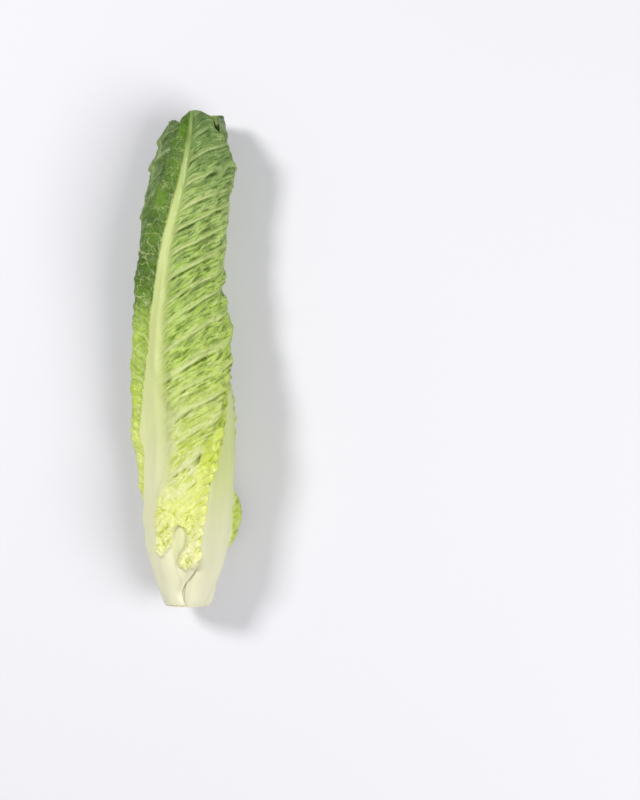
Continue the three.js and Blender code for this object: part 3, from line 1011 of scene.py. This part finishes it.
TENDER = [
    (0, (253, 250, 220)), (0.08, (252, 249, 212)), (0.16, (241, 242, 168)), (0.24, (230, 235, 128)),
    (0.32, (220, 232, 100)), (0.42, (206, 227, 84)), (0.6, (176, 205, 76)), (0.8, (140, 176, 62)),
]
# The colours of pits, pockets and creases: partly the blade's own deeper green, partly painted shade.
POCKETS = [
    (0, (240, 238, 150)), (0.1, (233, 236, 100)), (0.24, (214, 228, 50)), (0.36, (160, 186, 8)),
    (0.48, (110, 144, 1)), (0.7, (82, 120, 4)), (1, (60, 96, 18)),
]

# Over the blade's blotches, and single colours laid over a leaf or multiplied into it.
DEEP_GREEN = [(0.35, (56, 92, 2)), (0.65, (94, 134, 10))]
# painted shade multiplied into the deepest creases
PAINTED_CREASE_SHADE = (156, 180, 84)
# a painted highlight along the vein crests
PAINTED_CREST_HIGHLIGHT = (234, 240, 182)
# painted glints
PAINTED_GLINT = (234, 242, 186)
THREAD_TINT = (226, 230, 190)
# the stalk's olive in the slot, with painted shade
SLOT_STALK_AND_SHADE = (220, 222, 166)

# Over the distance from the middle of the cut, from 0 to 1: the pith, its ring, and the browned rim.
SAWN = [
    (0, (247, 243, 206)), (0.32, (243, 237, 192)), (0.4, (233, 223, 170)), (0.48, (247, 243, 204)),
    (0.8, (246, 242, 198)), (0.94, (234, 224, 180)), (1, (218, 200, 148)),
]
FIBRE_SPOT = (214, 204, 164)
LINE_TINT = (216, 202, 152)
STEM_SIDE = (238, 235, 204)
REFRACTION = 1.42


def leaf_patterns(n):
    """The patterns on a leaf: three that lie anyhow, then those that follow its rib and veins."""
    place = n.add("ShaderNodeTexCoord").outputs["Object"]
    uv = n.add("ShaderNodeUVMap", {"uv_map": "leaf"}).outputs["UV"]
    warp = n.add("ShaderNodeTexNoise", Vector=uv, Scale=30.0, Detail=2.0).outputs["Color"]
    return SimpleNamespace(
        blotch=n.noise(place, 70.0, 4.0),
        cloud=n.noise(place, 95.0, 2.0, 0.5),
        grain=n.noise(place, 900.0, 3.0),
        lines=n.streaks(uv, 9.0, 95.0),
        pits=n.streaks(uv, 19.0, 64.0, 4.0),
        glint=n.streaks(uv, 26.0, 240.0),
        thread=n.streaks(uv, 110.0, 2.0, 2.0),
        veinlet=n.net(uv, 38.0, 8.0),
        branch=n.net(n.blend(0.04, uv, warp), 17.0, 20.0),
        pucker=n.net(n.blend(0.03, uv, warp), 62.0, 3.0),
    )


def leaf_marks(n):
    """The shares that colour a leaf, from its two colour attributes."""
    rib, vein, low = n.attribute("marks")[:3]
    growth, tender, shade, hollow = n.attribute("growth")
    return SimpleNamespace(
        rib=rib, vein=vein, low=low, growth=growth, tender=tender, shade=shade, hollow=hollow,
        firm=n.rest(tender),
        bright=n.rest(n.product(shade, 0.7)),
    )


def blade_colour(n, marks, patterns, ribs, palette, darkness):
    """The blade: its green with pale lines, then what is sunk into it, darker partly from painted shade, its
    veins with painted highlights on their crests, and its milky clouds, partly painted sheen.
    """
    shifted = n.total(marks.growth, n.product(n.maths("SUBTRACT", patterns.blotch, 0.5), 0.14))
    pocket = n.colours(marks.growth, POCKETS)
    blade = n.blend(marks.tender, n.colours(shifted, palette), n.colours(shifted, TENDER))
    pale = n.levels(patterns.lines, [(0.5, 0), (0.6, 1)])
    blade = n.blend(n.product(pale, marks.firm, 0.7), blade, ribs)

    # pits, pockets and pucker walls, partly the blade's own deeper green and partly painted shade, with more
    # painted shade where they are deepest, and the deep green of the shaded part
    dark = n.product(n.rest(n.levels(patterns.pits, [(0.4, 0), (0.5, 1)])), 0.95)
    blade = n.blend(n.product(dark, marks.firm), blade, pocket)
    blade = n.blend(n.product(marks.low, 0.85), blade, pocket)
    deepest = n.levels(marks.low, [(0.7, 0), (1.0, 0.8)])
    blade = n.blend(deepest, blade, n.tinted(pocket, PAINTED_CREASE_SHADE))
    blade = n.blend(n.product(patterns.pucker, marks.tender, 0.15), blade, pocket)
    blade = n.blend(marks.shade, blade, n.colours(patterns.blotch, DEEP_GREEN))

    # a coarse net where the blade is dark, a faint fine net, and the side veins, with a painted highlight
    # along their crests
    blade = n.blend(n.product(patterns.branch, darkness, 0.8), blade, ribs)
    blade = n.blend(n.product(patterns.veinlet, 0.2, marks.bright), blade, ribs)
    blade = n.blend(n.product(marks.vein, 0.85, marks.bright), blade, ribs)
    crest = n.product(n.levels(marks.vein, [(0.7, 0), (0.95, 0.6)]), marks.bright)
    blade = n.blend(crest, blade, n.blend(0.4, ribs, linear(PAINTED_CREST_HIGHLIGHT)))

    # pale milky clouds, partly the blade's own pale patches and partly painted sheen, strongest a quarter of
    # the way up, and small painted glints
    cloud_level = n.levels(marks.growth, [(0.1, 0.2), (0.24, 0.55), (0.38, 0.45), (0.46, 0)])
    milky = n.product(n.levels(patterns.cloud, [(0.46, 0), (0.62, 1)]), cloud_level)
    blade = n.blend(n.product(milky, marks.firm), blade, ribs)
    # painted glints: small white flecks of highlight in the colour
    glint = n.levels(patterns.glint, [(0.6, 0), (0.68, 1)])
    return n.blend(n.product(glint, marks.firm, n.product(marks.bright, 0.6)), blade, linear(PAINTED_GLINT))


def leaf_bump(n, marks, patterns, darkness):
    """The fine relief: veins and grain on the blade, less where it is tender, and threads on the rib."""
    relief = n.total(n.product(patterns.veinlet, 0.25), n.product(patterns.grain, 0.3))
    relief = n.total(relief, n.total(patterns.lines, patterns.pits))
    relief = n.product(relief, n.rest(n.product(marks.tender, 0.6)))
    relief = n.maths("SUBTRACT", relief, n.product(patterns.branch, darkness, 0.6))
    height = n.total(n.product(n.rest(marks.rib), relief), n.product(patterns.thread, marks.rib, 0.4))
    return n.add("ShaderNodeBump", Strength=0.8, Distance=0.0007, Height=height).outputs["Normal"]


def leaf_material(slot):
    n = Nodes(slot)
    marks = leaf_marks(n)
    patterns = leaf_patterns(n)
    darkness = 1.0 if slot == "dark_leaf" else marks.shade
    ribs = n.colours(marks.growth, PALETTES[slot]["rib"])
    blade = blade_colour(n, marks, patterns, ribs, PALETTES[slot]["blade"], darkness)

    # the rib runs out into the blade in streaks
    threaded = n.blend(n.product(patterns.thread, 0.34), ribs, n.tinted(ribs, THREAD_TINT))
    streaked = n.maths("SUBTRACT", patterns.lines, 0.5)
    between = n.product(marks.rib, n.rest(marks.rib), 3.0)
    frayed = n.maths("ADD", marks.rib, n.product(streaked, between), clamp=True)
    colour = n.blend(frayed, blade, threaded)
    # the slot's floor turns a darker olive: partly the stalk's own tone, partly painted shade between the
    # lobes
    colour = n.blend(n.product(marks.hollow, 0.7), colour, linear(SLOT_STALK_AND_SHADE))

    # a waxy skin that lets a little light through
    bump = leaf_bump(n, marks, patterns, darkness)
    skin = n.add(
        "ShaderNodeBsdfPrincipled",
        Base_Color=colour,
        Roughness=n.total(0.24, n.product(patterns.grain, 0.25)),
        Normal=bump,
        IOR=REFRACTION,
        Coat_Weight=0.2,
        Coat_Roughness=0.08,
        Coat_Normal=bump,
    )
    glow = n.add("ShaderNodeBsdfTranslucent", Color=colour, Normal=bump)
    both = n.add("ShaderNodeMixShader", Fac=0.15)
    n.feed(both.inputs[1], skin.outputs[0])
    n.feed(both.inputs[2], glow.outputs[0])
    return n.finish(both)


def stem_material():
    n = Nodes("stem")
    share, face, line = n.attribute("cut")[:3]
    place = n.add("ShaderNodeTexCoord").outputs["Object"]
    blotch = n.noise(place, 260.0, 4.0, 0.65)
    fibre = n.add("ShaderNodeTexVoronoi", Vector=place, Scale=900.0).outputs["Distance"]
    ring = n.total(share, n.product(n.maths("SUBTRACT", blotch, 0.5), 0.22))
    spots = n.levels(fibre, [(0.1, 0.4), (0.35, 0)])
    spotted = n.blend(spots, n.colours(ring, SAWN), linear(FIBRE_SPOT))
    sawn = n.blend(n.product(line, 0.6), spotted, linear(LINE_TINT))
    colour = n.blend(face, linear(STEM_SIDE), sawn)
    height = n.total(blotch, n.product(fibre, 0.5))
    bump = n.add("ShaderNodeBump", Strength=0.5, Distance=0.0003, Height=height).outputs["Normal"]
    skin = n.add("ShaderNodeBsdfPrincipled", Base_Color=colour, Roughness=0.42, Normal=bump, IOR=REFRACTION)
    return n.finish(skin)


stem_piece(stem_material())
skins = {slot: leaf_material(slot) for slot in PALETTES}
for leaf in leaves:
    leaf_piece(leaf, skins[leaf.slot])


# ---- the table, the light and the camera ----
# Half the table's side, and the place that the lamps face, in metres.
TABLE_HALF = 4
AIM = (0, 0, 0.02)


def plain_material(name, colour, roughness):
    n = Nodes(name)
    return n.finish(n.add("ShaderNodeBsdfPrincipled", Base_Color=linear(colour), Roughness=roughness))


def add_table():
    bm = bmesh.new()
    bmesh.ops.create_grid(bm, x_segments=1, y_segments=1, size=TABLE_HALF)
    mesh = bpy.data.meshes.new("table")
    bm.to_mesh(mesh)
    bm.free()
    mesh.materials.append(plain_material("table_top", (222, 221, 225), 0.6))
    table = bpy.data.objects.new("table", mesh)
    bpy.context.scene.collection.objects.link(table)


def add_softbox(name, place, size, power):
    data = bpy.data.lights.new(name, "AREA")
    data.shape = "SQUARE"
    data.size = size
    data.energy = power
    lamp = bpy.data.objects.new(name, data)
    lamp.location = place
    lamp.rotation_euler = (Vector(AIM) - Vector(place)).to_track_quat("-Z", "Y").to_euler()
    bpy.context.scene.collection.objects.link(lamp)


def add_world(colour, strength):
    world = bpy.data.worlds.new("studio")
    world.use_nodes = True
    sky = world.node_tree.nodes["Background"]
    sky.inputs["Color"].default_value = linear(colour)
    sky.inputs["Strength"].default_value = strength
    bpy.context.scene.world = world


def add_camera(over, lens, height):
    """A camera looking straight down from over a place, in mm."""
    data = bpy.data.cameras.new("camera")
    data.lens = lens
    data.sensor_width = 36
    data.clip_start, data.clip_end = 0.01, 20
    camera = bpy.data.objects.new("camera", data)
    camera.location = (over[0] * MM, over[1] * MM, height * MM)
    bpy.context.scene.collection.objects.link(camera)
    bpy.context.scene.camera = camera


add_table()
add_softbox("key", place=(-1.1, 0.6, 1.45), size=0.4, power=23)
add_softbox("fill", place=(1.1, -0.4, 1.4), size=1.2, power=22)
add_world(colour=(242, 243, 248), strength=0.37)
add_camera(over=(66.9, -20.5), lens=100, height=1133)
bpy.context.scene.view_settings.view_transform = "Standard"
